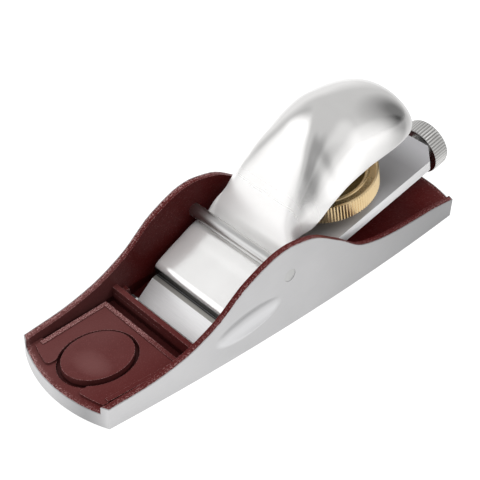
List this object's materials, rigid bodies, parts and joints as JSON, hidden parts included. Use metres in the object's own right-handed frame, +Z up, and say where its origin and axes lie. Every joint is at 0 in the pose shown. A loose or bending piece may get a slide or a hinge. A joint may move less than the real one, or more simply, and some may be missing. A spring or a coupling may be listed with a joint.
{
  "type": "block plane",
  "caption": "Small low-angle block plane with arched side walls, raised spoon lever cap, dished brass clamp wheel and knurled depth nut.",
  "frame": {"origin": "middle of the sole, on the sole plane", "axes": "+X towards the heel, +Z up, the toe points to -X"},
  "size_m": [0.1315, 0.036, 0.0472],
  "materials": {
    "casting": "dark red paint inside, ground iron outside",
    "pin_steel": "satin",
    "blade_steel": "ground",
    "cap_metal": "polished",
    "wheel_brass": "satin",
    "screw_steel": "turned",
    "nut_steel": "knurled"
  },
  "bodies": {
    "plane_body": {"body": "casting", "cross_pin": "pin_steel", "adjuster_stud": "screw_steel"},
    "iron": {"blade": "blade_steel", "feed_slide": "screw_steel"},
    "cap": {"lever_cap": "cap_metal"},
    "foot": {"pressure_pad": "screw_steel"},
    "wheel": {"clamp_wheel": "wheel_brass", "clamp_screw": "screw_steel"},
    "nut": {"adjusting_nut": "nut_steel"}
  },
  "joints": [
    {"name": "cap_rock", "type": "hinge", "parent": "plane_body", "child": "cap", "pos_m": [-0.00679, 0, 0.01665], "axis": [0, 1, 0], "range_deg": [0, 1.95]},
    {"name": "foot_travel", "type": "slide", "parent": "cap", "child": "foot", "axis": [-0.2334, 0, 0.9724], "range_m": [0, 0.00126]},
    {"name": "wheel_turn", "type": "hinge", "parent": "foot", "child": "wheel", "pos_m": [0.02297, 0, 0.02164], "axis": [-0.2334, 0, 0.9724], "range_deg": [0, 360]},
    {"name": "blade_feed", "type": "slide", "parent": "plane_body", "child": "iron", "axis": [0.9724, 0, 0.2334], "range_m": [-0.0016, 0.0024]},
    {"name": "nut_turn", "type": "hinge", "parent": "iron", "child": "nut", "pos_m": [0.06131, 0, 0.01295], "axis": [0.9724, 0, 0.2334], "range_deg": [-721, 1081]}
  ],
  "couplings": [
    {"joint": "cap_rock", "follows": "wheel_turn", "ratio": 0.0052778},
    {"joint": "foot_travel", "follows": "wheel_turn", "m_per_rad": 0.00019894},
    {"joint": "nut_turn", "follows": "blade_feed", "rad_per_m": 7854}
  ]
}
